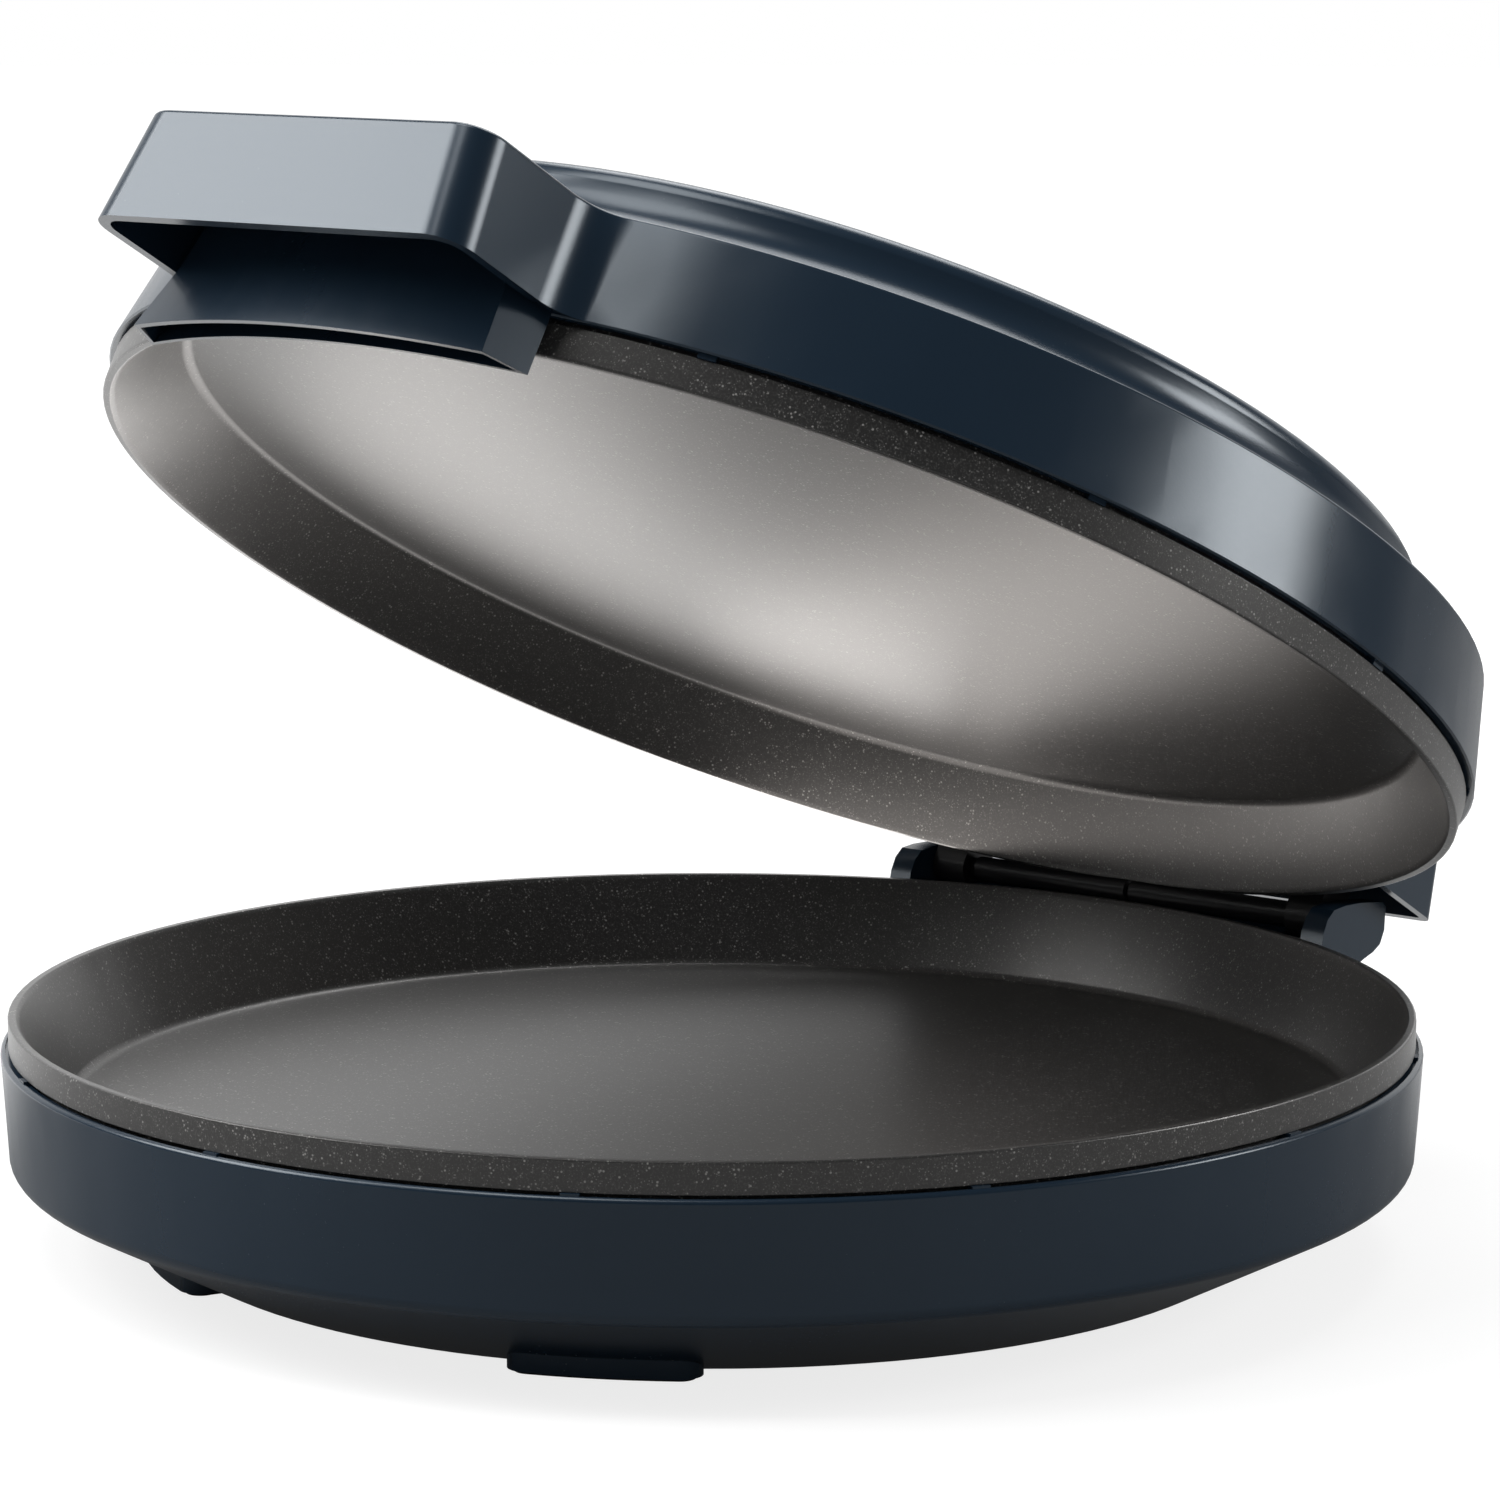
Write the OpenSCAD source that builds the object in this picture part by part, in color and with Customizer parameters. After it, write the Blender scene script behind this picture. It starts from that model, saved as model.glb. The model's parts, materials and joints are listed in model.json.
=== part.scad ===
// Electric pizza maker: a round base and a hinged lid, each with a shallow heated pan.
// Millimetres, +Z up, standing on z = 0, front towards -Y, hinge at the rear.
// Lid pieces are drawn shut and turned back about the hinge line by lid_open.

/* [Base] */
// Radius of the base at its top edge
base_r = 165; // [160:0.5:170]
// Height of the base shell's top edge above the table
base_h = 47.5; // [44:0.5:52]
// Wall thickness of the moulded shells
wall = 2.5; // [2:0.1:3.2]
// Inward lean of the base wall from its top edge to the corner
base_draft = 1.5; // [0.5:0.1:2.5]
// Height of the side wall, from the corner where it turns under to its top edge
side_h = 26; // [24:0.5:28]
// Inset of the flat underside from the base's edge
under_in = 38.5; // [36:0.5:42]
// Gap between the underside and the table
under_z = 1.3; // [1.1:0.1:2]
// Thickness of the bottom cover
cover_t = 2.1; // [1.6:0.1:2.6]
// Inset of the bottom cover from the edge of the flat underside
cover_in = 8.9; // [8:0.1:10]

/* [Feet] */
// Reach of a foot past the flat underside
foot_out = 7.2; // [6:0.1:8.5]
// Radial width of a foot
foot_w = 15.7; // [13:0.1:17]
// Half of the angle that a foot spans
foot_half = 9.4; // [7:0.1:12]
// Corner radius of a foot
foot_corner = 5; // [3:0.5:6]
// Thickness of the rubber pad
pad_t = 2.4; // [2:0.1:3]

/* [Pans] */
// Inset of the lower pan's rim from the base's edge
low_rim_in = 1.8; // [1.6:0.1:2.2]
// Depth of the lower pan
low_depth = 22; // [18:0.5:25]
// Height of the lower pan's outer flange
low_flange = 7.1; // [6:0.1:8]
// Inset of the upper pan's rim from the band's lower edge
up_rim_in = 1.5; // [1.3:0.1:1.9]
// Depth of the upper pan
up_depth = 20; // [17:0.5:22]
// Height of the upper pan's outer flange
up_flange = 7.5; // [6:0.1:7.8]
// Thickness of the pans
pan_t = 1.8; // [1.5:0.1:2.4]
// Width of the flat top of a rim
rim_face = 1.8; // [1.4:0.1:2.2]
// Inward lean of a pan's wall from its rim to its floor
pan_lean = 10; // [8:0.5:12]
// Gap between the two rims with the lid level
rim_gap = 3.3; // [3:0.1:4]
// Gap between a pan's flange and the shell's edge
seam = 0.5; // [0.3:0.1:1]

/* [Lid] */
// Overhang of the lid band past the base's edge
band_over = 1.9; // [1.4:0.1:2.5]
// Inward lean of the band from its lower edge to its upper edge
band_lean = 5.1; // [4:0.1:6]
// Height of the lid band
band_h = 26.3; // [24:0.1:29]
// Inset of the raised crown's wall from the band's upper edge
crown_in = 20.3; // [18:0.1:23]
// Height of the crown's edge above the band's top
crown_h = 18.3; // [16:0.1:20]
// Radius of the rounded top edge of the band, the handle and the rear housing
edge_round = 1; // [0.6:0.1:1.4]
// Extra height of the dome at its middle
dome_rise = 3.5; // [2:0.1:6]
// Angle by which the lid stands open
lid_open = 29.1; // [0:0.1:70]

/* [Handle] */
// Half width of the handle at its lower edge
handle_w = 53.7; // [50:0.1:56]
// Inward lean of the handle's ends
handle_lean_x = 3.7; // [2:0.1:5]
// Reach of the handle past the band's lower edge
handle_out = 28.9; // [26:0.1:32]
// Inward lean of the handle's front
handle_lean_y = 1.5; // [0.5:0.1:3]
// Radius of the handle's front corners
handle_corner = 8.5; // [6:0.5:10]
// Radius of the hollow curve from the handle into the band
handle_fillet = 12; // [9:0.5:14]
// Wall thickness of the handle
handle_wall = 2.8; // [2.2:0.1:3.2]

/* [Finger guard] */
// Drop of the guard's lower edge below the band
guard_drop = 15.4; // [14:0.1:17]
// Reach of the guard's lower edge past the band
guard_out = 13.9; // [12:0.1:15]
// Reach of the guard past the band where it enters the handle
guard_mid_out = 9.6; // [8:0.1:11]
// Reach of the guard's inner wall past the band at its lower edge
guard_in_out = 4.9; // [4.4:0.1:5.6]
// Inset of the guard's ends from the handle's at its lower front edge
guard_in = 2.7; // [2:0.1:5]
// Wall thickness of the guard
guard_wall = 1.3; // [1.1:0.1:1.8]

/* [Rear housing] */
// Half width of the rear housing
rear_w = 74.5; // [73.5:0.1:76]
// Reach of the rear housing past the band's lower edge
rear_out = 24.1; // [23:0.1:27]
// Inward lean of the rear housing's back
rear_lean = 5; // [3:0.1:6]

/* [Hinge] */
// Distance of the hinge line behind the base's edge
hinge_out = 2; // [1.5:0.1:3]
// Height of the hinge line above the base's top edge
hinge_rise = 9.5; // [9:0.1:10.5]
// Radius of the barrel tubes
barrel_r = 3.15; // [2.8:0.05:3.3]
// Inner face of a hinge arm, from the middle
arm_x = 50.6; // [48:0.1:52]
// Thickness of a hinge arm
arm_t = 9.9; // [9:0.1:10]
// Radius of a hinge arm's round end
arm_r = 5.5; // [5.2:0.1:5.6]
// Inner face of a base ear, from the middle
ear_x = 61.5; // [61.4:0.1:62]
// Thickness of a base ear
ear_t = 6.5; // [5.5:0.1:6.8]
// Radius of a hinge pin
pin_r = 2.5; // [2.2:0.05:2.7]
// Angle from shut at which the arms meet the saddle
open_stop = 99; // [90:0.5:102]

/* [Heating] */
// Inset of the heating element's ring from the base's edge
element_in = 60; // [54:1:70]
// Diameter of the element's sheath
element_d = 6.6; // [6:0.1:8]
// Height of the sheath after its flats are pressed
element_h = 6; // [5.4:0.1:6]
// Angle left open between the element's ends
element_gap = 35; // [25:1:50]
// Inset of the heat reflector's edge from the base's edge
reflector_in = 30; // [28:0.5:37]
// Gap from a pan's back to its reflector
reflector_gap = 12; // [11:0.5:14]

/* [Hidden] */
$fn = 96;
navy = "#16242f";
black = "#0c0d0e";
pan_grey = "#3a3a3a";
steel = "#b9bcbf";

// Radii that follow from the base
under_r = base_r - under_in;
cover_r = under_r - cover_in;
foot_r = under_r + foot_out;
low_rim_r = base_r - low_rim_in;
band_r = base_r + band_over;
band_top_r = band_r - band_lean;
up_rim_r = band_r - up_rim_in;
crown_r = band_top_r - crown_in;
element_r = base_r - element_in;
reflector_r = base_r - reflector_in;
handle_y = band_r + handle_out;
handle_top_y = handle_y - handle_lean_y;
handle_top_w = handle_w - handle_lean_x;
guard_r = band_r + guard_out;
guard_mid_r = band_r + guard_mid_out;
guard_in_r = band_r + guard_in_out;
rear_y = band_r + rear_out;
rear_top_y = rear_y - rear_lean;
hinge_y = base_r + hinge_out;
guard_w = handle_w - guard_in;
// Heights that follow from the base
corner_z = base_h - side_h;
low_rim_z = base_h + seam + low_flange;
up_rim_z = low_rim_z + rim_gap;
band_z = up_rim_z + up_flange + 1.1;
band_top_z = band_z + band_h;
hinge_z = base_h + hinge_rise;
guard_z = band_z - guard_drop;
low_back = low_rim_z - low_depth - pan_t;
up_back = up_rim_z + up_depth + pan_t;
shelf_z = under_z + cover_t;
// Screws: shank, the bore it cuts into, the hole it passes through, and the head
screw_r = 1.5;
tap_r = screw_r + 0.02;
clear_r = screw_r + 0.3;
head_r = 3;
head_h = 2.2;
// Running clearance of the hinge pins, and the free gap between bodies
run_gap = 0.05;
body_gap = 0.3;
ear_out = ear_x + ear_t;
arm_out = arm_x + arm_t;
// Rearmost point of the opened lid, and the shift that centres the whole on the Y axis
rear_dy = rear_top_y - hinge_y;
rear_dz = band_top_z - hinge_z;
rear_reach = hinge_y + rear_dy * cos(lid_open) + rear_dz * sin(lid_open);
mid_y = (rear_reach - base_r) / 2;

function mix(a, b, t) = a + (b - a) * t;
function arc(cx, cy, r, a0, a1, n) = [for (i = [0:n]) let (a = mix(a0, a1, i / n))
    [cx + r * cos(a), cy + r * sin(a)]];
function turned(p, a) = [p[0] * cos(a) - p[1] * sin(a), p[0] * sin(a) + p[1] * cos(a)];
function flip(pts) = [for (i = [len(pts) - 1:-1:0]) pts[i]];
function band_at(z) = mix(band_r, band_top_r, (z - band_z) / band_h);

module at_pose() translate([0, -mid_y, 0]) children();
module lid_pose() at_pose()
    translate([0, hinge_y, hinge_z]) rotate([-lid_open, 0, 0]) translate([0, -hinge_y, -hinge_z])
        children();
module around(n, r, first = 0) for (i = [0:n - 1]) rotate(first + 360 * i / n)
    translate([r, 0, 0]) children();
module both_sides() for (s = [0, 1]) mirror([s, 0, 0]) children();
module along_x(x0, x1, r) translate([x0, 0, 0]) rotate([0, 90, 0]) cylinder(h = x1 - x0, r = r);

// ---- Base -------------------------------------------------------------------------------

lip = wall + 0.1;
tab_half = 0.7;
wall_foot_r = base_r - base_draft;
inner_r = base_r - lip;
slope = atan2(corner_z - under_z - 1.4, wall_foot_r - 2.6 - under_r - 0.5);
slope_lift = wall / cos(slope);
// Inner edge of the ledge that carries the bottom cover, and its screws halfway across it
flange_in = cover_r - 10.6;
cover_screw_r = (cover_r + flange_in) / 2;
cover_boss_h = 7;
foot_angles = [-120, -60, 60, 120];

module shell_profile() polygon(concat(
    [[cover_r + 0.4, under_z], [under_r, under_z], [under_r + 0.5, under_z + 0.2]],
    arc(wall_foot_r - 4, corner_z + 1.6, 4, slope - 90, -3.3, 8),
    arc(base_r - 1.1, base_h - 1.1, 1.1, 0, 90, 4),
    [[inner_r, base_h], [inner_r - base_draft, corner_z + 2.2],
     [inner_r - base_draft - 0.9, corner_z + 1.1],
     [under_r + 3, under_z + 0.2 + slope_lift + tan(slope) * 2.5],
     [under_r + 1, shelf_z + wall], [flange_in, shelf_z + wall],
     [flange_in, shelf_z], [cover_r + 0.4, shelf_z]]));

module foot_outline(grow = 0) {
    outer = foot_r + grow;
    inner = foot_r - foot_w - grow;
    half = foot_half + grow / foot_r * 57.3;
    c = foot_corner + grow;
    trim = c / foot_r * 57.3;
    module sector(r0, r1, a) intersection() {
        difference() { circle(r1); circle(r0); }
        polygon([[0, 0], for (s = [-1, 1]) 2 * base_r * [cos(s * a), sin(s * a)]]);
    }
    sector(inner, outer, half - trim);
    sector(inner + c, outer - c, half);
    for (s = [-1, 1], r = [inner + c, outer - c])
        rotate(s * (half - trim)) translate([r, 0]) circle(c - 0.02);
}

// Side outline of a base ear, as y and z with the hinge line at the origin
ear_side = [[-18, -19], [-18, -11], [-14.2, -2.6], [-13.8, -0.8], [-12, 2.5], [-9.2, 4.6],
    [-4.5, 5], [2.2, 4.8], [12.6, 3.6], [13.9, 2.1], [13.5, -3.7], [11.7, -7], [8.6, -8.6],
    [4.6, -9.7], [-7, -14]];
// Where the shut arm's rear face lands once it has turned to the stop
stop_at = turned([arm_r + body_gap, 0], -open_stop);
stop_dir = turned([0, 1], -open_stop);
stop_back = stop_at + stop_dir * 11;
saddle_side = [[-19, -21], [-19, stop_at[1]], stop_at, stop_back, [10.5, -10.3], [4, -11],
    [-7, -15]];
// The saddle rises under and behind the barrels, between the arms
trough_top = -barrel_r - body_gap;
trough_side = concat([[-19, -21], [-19, trough_top]],
    arc(0, 0, barrel_r + body_gap, -90, -20, 4), [[6.6, -1.2], [7.4, -2], [7.4, -9], [-7, -15]]);

module side_block(outline, x0, x1) translate([x0, hinge_y, hinge_z]) rotate([90, 0, 90])
    linear_extrude(x1 - x0) polygon(outline);

module shell_tabs(r0, r1, z0, z1) for (i = [0:11]) rotate(30 * i - tab_half)
    translate([0, 0, z0]) rotate_extrude(angle = 2 * tab_half)
        translate([r0, 0]) square([r1 - r0, z1 - z0]);

// Collars of the pans sit inside the shells; short tabs snap into a groove round each collar
collar_gap = 1.3;
low_collar = inner_r - collar_gap;
tab_reach = 0.7;
groove_z = [1.9, 4.3];
groove_depth = 0.9;
tab_z = [groove_z[0] + 0.3, groove_z[1] - 0.3];
inlet_z = low_back - 1.8;
inlet_r = 6;
inlet_bore = 3.6;
// Where a foot's plastic starts above the table, its height, and its wall round the rubber pad
foot_base_z = 0.8;
foot_h = 5;
foot_rim = 1.5;

module base_shell() color(navy) at_pose() difference() {
    union() {
        difference() {
            union() {
                rotate_extrude() shell_profile();
                side_block(saddle_side, -ear_x - 1, ear_x + 1);
                side_block(trough_side, -arm_x + body_gap, arm_x - body_gap);
                both_sides() side_block(ear_side, ear_x, ear_out);
            }
            // room for the pan inside the saddle and the ears
            translate([0, 0, corner_z + 2]) cylinder(h = base_h - corner_z, r1 = inner_r - base_draft,
                r2 = inner_r - 0.1);
            translate([0, 0, base_h - 0.5]) cylinder(h = hinge_rise + 20, r = low_rim_r + 0.7);
        }
        for (a = foot_angles) rotate(a) translate([0, 0, foot_base_z])
            linear_extrude(foot_h) foot_outline();
        shell_tabs(low_collar - tab_reach, inner_r + 0.5, low_rim_z - low_flange - tab_z[1],
            low_rim_z - low_flange - tab_z[0]);
        shell_tabs(low_collar + 0.1, base_r - 0.9, base_h - 4, base_h + seam);
        around(4, cover_screw_r, 45) translate([0, 0, shelf_z + 1]) cylinder(h = cover_boss_h, r = 4.4);
    }
    for (a = foot_angles) rotate(a) translate([0, 0, -1]) linear_extrude(pad_t + 1)
        foot_outline(-foot_rim);
    around(4, cover_screw_r, 45) cylinder(h = shelf_z + cover_boss_h, r = tap_r);
    both_sides() translate([0, hinge_y, hinge_z]) along_x(ear_x - 1, ear_out - 1.5, pin_r + 0.02);
    translate([0, base_r - 12, inlet_z]) rotate([-90, 0, 0]) cylinder(h = 20, r = inlet_r + 0.05);
}

module bottom_cover() color(black) at_pose() translate([0, 0, under_z]) difference() {
    cylinder(h = cover_t, r = cover_r);
    around(4, cover_screw_r, 45) translate([0, 0, -1]) cylinder(h = cover_t + 2, r = clear_r);
    for (ring = [40, 58, 76]) around(round(ring / 4), ring)
        translate([-6, -1.5, -1]) cube([12, 3, cover_t + 2]);
}

module foot_pads() color("#151515") at_pose() for (a = foot_angles) rotate(a)
    linear_extrude(pad_t) foot_outline(-foot_rim - 0.1);

// A screw through height 0, its head below and its shank above
module screw(length, head_h, head_r = head_r) {
    difference() {
        translate([0, 0, -head_h]) cylinder(h = head_h, r1 = head_r * 0.8, r2 = head_r);
        for (a = [0, 90]) rotate(a) translate([-head_r * 0.55, -0.4, -head_h - 1])
            cube([head_r * 1.1, 0.8, 1.8]);
    }
    translate([0, 0, -0.2]) cylinder(h = length + 0.2, r = screw_r);
}

module cover_screws() color(steel) at_pose() around(4, cover_screw_r, 45)
    translate([0, 0, under_z]) screw(cover_boss_h + 1, under_z - 0.2);

module cord_inlet() color(black) at_pose() translate([0, 0, inlet_z]) rotate([-90, 0, 0])
    difference() {
        union() {
            translate([0, 0, inner_r - 5.5]) cylinder(h = lip + 6, r = inlet_r);
            translate([0, 0, base_r - 0.5]) cylinder(h = 2.2, r = inlet_r + 1.8);
            translate([0, 0, inner_r - 5.5]) cylinder(h = 3, r = inlet_r + 1);
        }
        translate([0, 0, inner_r - 20]) cylinder(h = 40, r = inlet_bore);
    }

// ---- Pans and what heats them -----------------------------------------------------------

// Half section of a pan, rim at height 0 and floor at height depth
module pan_profile(rim_r, collar, flange, depth) {
    floor_r = rim_r - rim_face - pan_lean;
    polygon(concat(
        [[0, depth], [floor_r - 4, depth]],
        arc(floor_r - 3.5, depth - 3, 3, 90, 27, 4),
        [[rim_r - rim_face - 1.1, 1.2], [rim_r - rim_face, 0], [rim_r - 0.3, 0], [rim_r, 0.3],
         [rim_r, flange], [collar, flange], [collar, flange + groove_z[0]],
         [collar - groove_depth, flange + groove_z[0]], [collar - groove_depth, flange + groove_z[1]],
         [collar, flange + groove_z[1]], [collar, flange + groove_z[1] + 2]],
        arc(floor_r - 2.6, depth + pan_t - 4.4, 4.4, 27, 90, 4),
        [[0, depth + pan_t]]));
}
// Bosses for the element's clamps stand inside its ring, and the reflector's posts further in
boss_r = element_r - 13;
post_r = boss_r - 32;
clamp_t = 1.2;
sheet = 0.6;
reflector_hole = 22;
// Angle of an element's end from the middle line, and heights of its pin and tab above the back
end_angle = element_gap / 2 + 1.4;
pin_top = element_h / 2 + 11;
tab_top = element_h / 2 + 17.5;

module pan(rim_r, collar, flange, depth) difference() {
    union() {
        rotate_extrude() pan_profile(rim_r, collar, flange, depth);
        translate([0, 0, depth + pan_t - 0.5]) {
            around(4, boss_r, 45) cylinder(h = element_h + 0.5, r = 4);
            around(3, post_r, 30) cylinder(h = reflector_gap + 0.5, r = 4);
        }
    }
    translate([0, 0, depth + pan_t]) {
        around(4, boss_r, 45) translate([0, 0, 0.5]) cylinder(h = element_h, r = tap_r);
        around(3, post_r, 30) translate([0, 0, reflector_gap - 5]) cylinder(h = 6, r = tap_r);
    }
}
// Each of these is drawn on a pan's back at height 0, growing away from the pan
module heating_element() {
    rotate(90 + element_gap / 2) rotate_extrude(angle = 360 - element_gap)
        translate([element_r, element_h / 2]) intersection() {
            circle(d = element_d);
            square([element_d + 1, element_h], center = true);
        }
    for (s = [-1, 1]) rotate(90 + s * end_angle) translate([element_r, 0, 0]) {
        translate([0, 0, element_h / 2]) cylinder(h = pin_top - element_h / 2, r = 2.2);
        translate([-2.6, -0.4, pin_top - 0.5]) cube([5.2, 0.8, tab_top - pin_top + 0.5]);
    }
}
module element_clamps() around(4, boss_r, 45) translate([-5, -5, element_h]) difference() {
    cube([element_r - boss_r + 11, 10, clamp_t]);
    translate([5, 5, -1]) cylinder(h = clamp_t + 2, r = clear_r);
}
module pan_screws() {
    around(4, boss_r, 45) translate([0, 0, element_h + clamp_t]) mirror([0, 0, 1])
        screw(element_h - 1.4, head_h);
    around(3, post_r, 30) translate([0, 0, reflector_gap + sheet]) mirror([0, 0, 1])
        screw(4.4, head_h);
}
module heat_reflector() difference() {
    rotate_extrude() polygon([[reflector_hole, reflector_gap], [reflector_r - 3, reflector_gap],
        [reflector_r, reflector_gap - 6], [reflector_r + 0.7, reflector_gap - 5.7],
        [reflector_r - 2.5, reflector_gap + sheet], [reflector_hole, reflector_gap + sheet]]);
    around(3, post_r, 30) translate([0, 0, reflector_gap - 2]) cylinder(h = 4, r = clear_r);
    for (s = [-1, 1]) rotate(90 + s * end_angle)
        translate([element_r, 0, reflector_gap - 2]) cylinder(h = 4, r = 4.5);
}
// Place across and height of a thermostat's tabs
stat_x = 5;
stat_top = 14;
module thermostat() {
    cylinder(h = 1, r = 11);
    cylinder(h = 6.5, r = 8);
    for (s = [-1, 1]) translate([s * stat_x - 2.4, -0.4, 6]) cube([4.8, 0.8, stat_top - 6]);
}

module on_low_back() at_pose() translate([0, 0, low_back]) mirror([0, 0, 1]) children();
module on_up_back() lid_pose() translate([0, 0, up_back]) children();

module lower_pan() color(pan_grey) at_pose() translate([0, 0, low_rim_z]) mirror([0, 0, 1])
    pan(low_rim_r, low_collar, low_flange, low_depth);
module lower_heating_element() color(steel) on_low_back() heating_element();
module lower_element_clamps() color(steel) on_low_back() element_clamps();
module lower_pan_screws() color(steel) on_low_back() pan_screws();
module lower_heat_reflector() color(steel) on_low_back() heat_reflector();
module lower_thermostat() color(black) on_low_back() thermostat();

fuse_y = post_r * 0.7;
fuse_x = 16;
fuse_z = 2.6;
module thermal_fuse() color("#cfc7a8") on_low_back() translate([0, fuse_y, 0]) {
    translate([-4, -3, 0]) cube([8, 6, 0.8]);
    translate([0, 0, fuse_z]) along_x(-9, 9, 2);
    translate([0, 0, fuse_z]) along_x(-fuse_x, fuse_x, 0.6);
}

// The block stops short of the reflector
block_size = [40, 16, low_back - reflector_gap - sheet - shelf_z - 2.3];
block_y = flange_in - block_size[1] / 2 - 4;
poles = [-13, 0, 13];
module terminal_block() color("#e6e0d2") at_pose() translate([0, block_y, shelf_z]) difference() {
    translate([-block_size[0] / 2, -block_size[1] / 2, 0]) cube(block_size);
    for (x = poles) translate([x, 0, block_size[2] - 5]) cylinder(h = 6, r = 2.6);
}
module terminal_screws() color("#b08d3c") at_pose() for (x = poles)
    translate([x, block_y, shelf_z + block_size[2] - 5]) difference() {
        cylinder(h = 3, r = 2.55);
        translate([-3, -0.4, 2.2]) cube([6, 0.8, 1]);
    }

// A wire swept along its points
function unit(v) = v / norm(v);
function heading(pts, i) = unit(pts[min(i + 1, len(pts) - 1)] - pts[max(i - 1, 0)]);
function ring(p, d, r, n) = let (u = unit(cross(d, [0.31, 0.17, 0.93])), v = cross(d, u))
    [for (k = [0:n - 1]) p + r * (cos(360 * k / n) * u + sin(360 * k / n) * v)];
module wire(pts, r = 1.1, n = 8) {
    m = len(pts);
    polyhedron([for (i = [0:m - 1]) each ring(pts[i], heading(pts, i), r, n)], concat(
        [[for (k = [0:n - 1]) k]],
        [for (i = [0:m - 2], k = [0:n - 1]) let (a = i * n, b = a + n, q = (k + 1) % n)
            [a + k, b + k, b + q, a + q]],
        [[for (k = [n - 1:-1:0]) (m - 1) * n + k]]), convexity = 4);
}
// Free gap between a wire's end and what it serves
wire_gap = 0.4;
end_pin = turned([element_r, 0], 90 - end_angle);
// Places of the element's tabs, the thermostat's tabs and the fuse's leads below the lower pan
tab_z_low = low_back - tab_top - wire_gap;
stat_z_low = low_back - stat_top - wire_gap;
fuse_z_low = low_back - fuse_z;
block_front = block_y - block_size[1] / 2 - wire_gap;
block_back = block_y + block_size[1] / 2 + wire_gap;
wire_z = shelf_z + 5;
module base_wiring() color("#8c2f2a") at_pose() {
    for (s = [-1, 1]) wire([[s * end_pin[0], end_pin[1], tab_z_low],
        [s * (end_pin[0] - 0.6), end_pin[1], tab_z_low - 1.6],
        [s * (block_size[0] / 2 + 5), block_y, wire_z], [s * (block_size[0] / 2 + wire_gap), block_y, wire_z]]);
    for (s = [-1, 1]) wire([[s * 2, block_back, wire_z], [s * 2, block_back + 9, wire_z + 2],
        [s * 1.8, reflector_r - 7, wire_z + 5], [s * 1.8, reflector_r + 4, wire_z + 8],
        [s * 1.6, base_r - 19, inlet_z - 6], [s * 1.6, base_r - 13, inlet_z],
        [s * 1.6, base_r - 3, inlet_z]]);
    wire([[-stat_x, 0, stat_z_low], [-stat_x, 3, stat_z_low - 4], [-3, 40, wire_z],
        [0, block_front, wire_z]]);
    wire([[stat_x, 0, stat_z_low], [stat_x, 2, stat_z_low - 3.5], [8, 8, stat_z_low - 3],
        [11, 12, stat_z_low + 1], [13, 15, stat_z_low + 6], [fuse_x + 7, fuse_y - 7, fuse_z_low - 1],
        [fuse_x + 5, fuse_y, fuse_z_low], [fuse_x + wire_gap, fuse_y, fuse_z_low]]);
    wire([[-fuse_x - wire_gap, fuse_y, fuse_z_low], [-fuse_x - 5, fuse_y, fuse_z_low],
        [-fuse_x - 7, fuse_y - 7, fuse_z_low - 1],
        [-13, 15, stat_z_low + 6], [-11, 12, stat_z_low], [-9, 20, wire_z + 3],
        [poles[0], block_front - 20, wire_z], [poles[0], block_front, wire_z]]);
}

// ---- Lid --------------------------------------------------------------------------------

cove_r = 12;
edge_r = 4;
cove_x = crown_r + cove_r;
crown_z = band_top_z + crown_h - edge_r;
function lid_line(t) = concat(
    arc(band_top_r - edge_round - t * 0.9, band_top_z - edge_round - t * 0.9,
        max(edge_round - t, 0.2), 0, 80, 4),
    arc(cove_x, crown_z - 0.9, cove_r + t, 258, 176, 8),
    arc(crown_r - edge_r, crown_z, edge_r - t, 4, 82, 5),
    [for (i = [8:-1:0]) let (x = (crown_r - edge_r) * i / 9)
        [x, crown_z + edge_r - t + dome_rise * (1 - pow(i / 9, 2))]]);
module lid_profile() polygon(concat(
    [[band_r - wall, band_z], [band_r - 0.4, band_z], [band_r, band_z + 0.4]],
    lid_line(0), flip(lid_line(wall))));

// Plan outline of a block standing out of the band: half width w, reach y, front corner c,
// hollow fillet f into a circle of radius r, closed by an arc sunk 1.2 mm below it
function half_block(w, y, c, f, r) = let (
        h = r - 0.15, cy = sqrt(pow(h + f, 2) - pow(w + f, 2)), a = atan2(w + f, cy))
    concat([for (k = [0:8]) let (b = mix(-90, 0, k / 8)) [w - c + c * cos(b), -y + c + c * sin(b)]],
        [for (k = [0:10]) let (b = mix(180, 90 + a, k / 10)) [w + f + f * cos(b), -cy + f * sin(b)]],
        [for (k = [0:5]) let (b = mix(a, 0, k / 5.5)) (r - 1.2) * [sin(b), -cos(b)]]);
function block(w, y, c, f, r) = let (p = half_block(w, y, c, f, r))
    concat(p, [for (q = flip(p)) [-q[0], q[1]]]);
// Skin through plans given as [outline, height], cut off level at z0 and z1
module loft(rings, z0, z1) intersection() {
    n = len(rings[0][0]);
    m = len(rings);
    polyhedron([for (g = rings, p = g[0]) [p[0], p[1], g[1]]], concat(
        [[for (k = [0:n - 1]) k]], [[for (k = [n - 1:-1:0]) (m - 1) * n + k]],
        [for (j = [0:m - 2], k = [0:n - 1]) let (q = (k + 1) % n, d = j * n)
            [d + k, d + n + k, d + n + q, d + q]]), convexity = 6);
    translate([-base_r, -2 * base_r, z0]) cube([2 * base_r, 2 * base_r, z1 - z0]);
}
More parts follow.
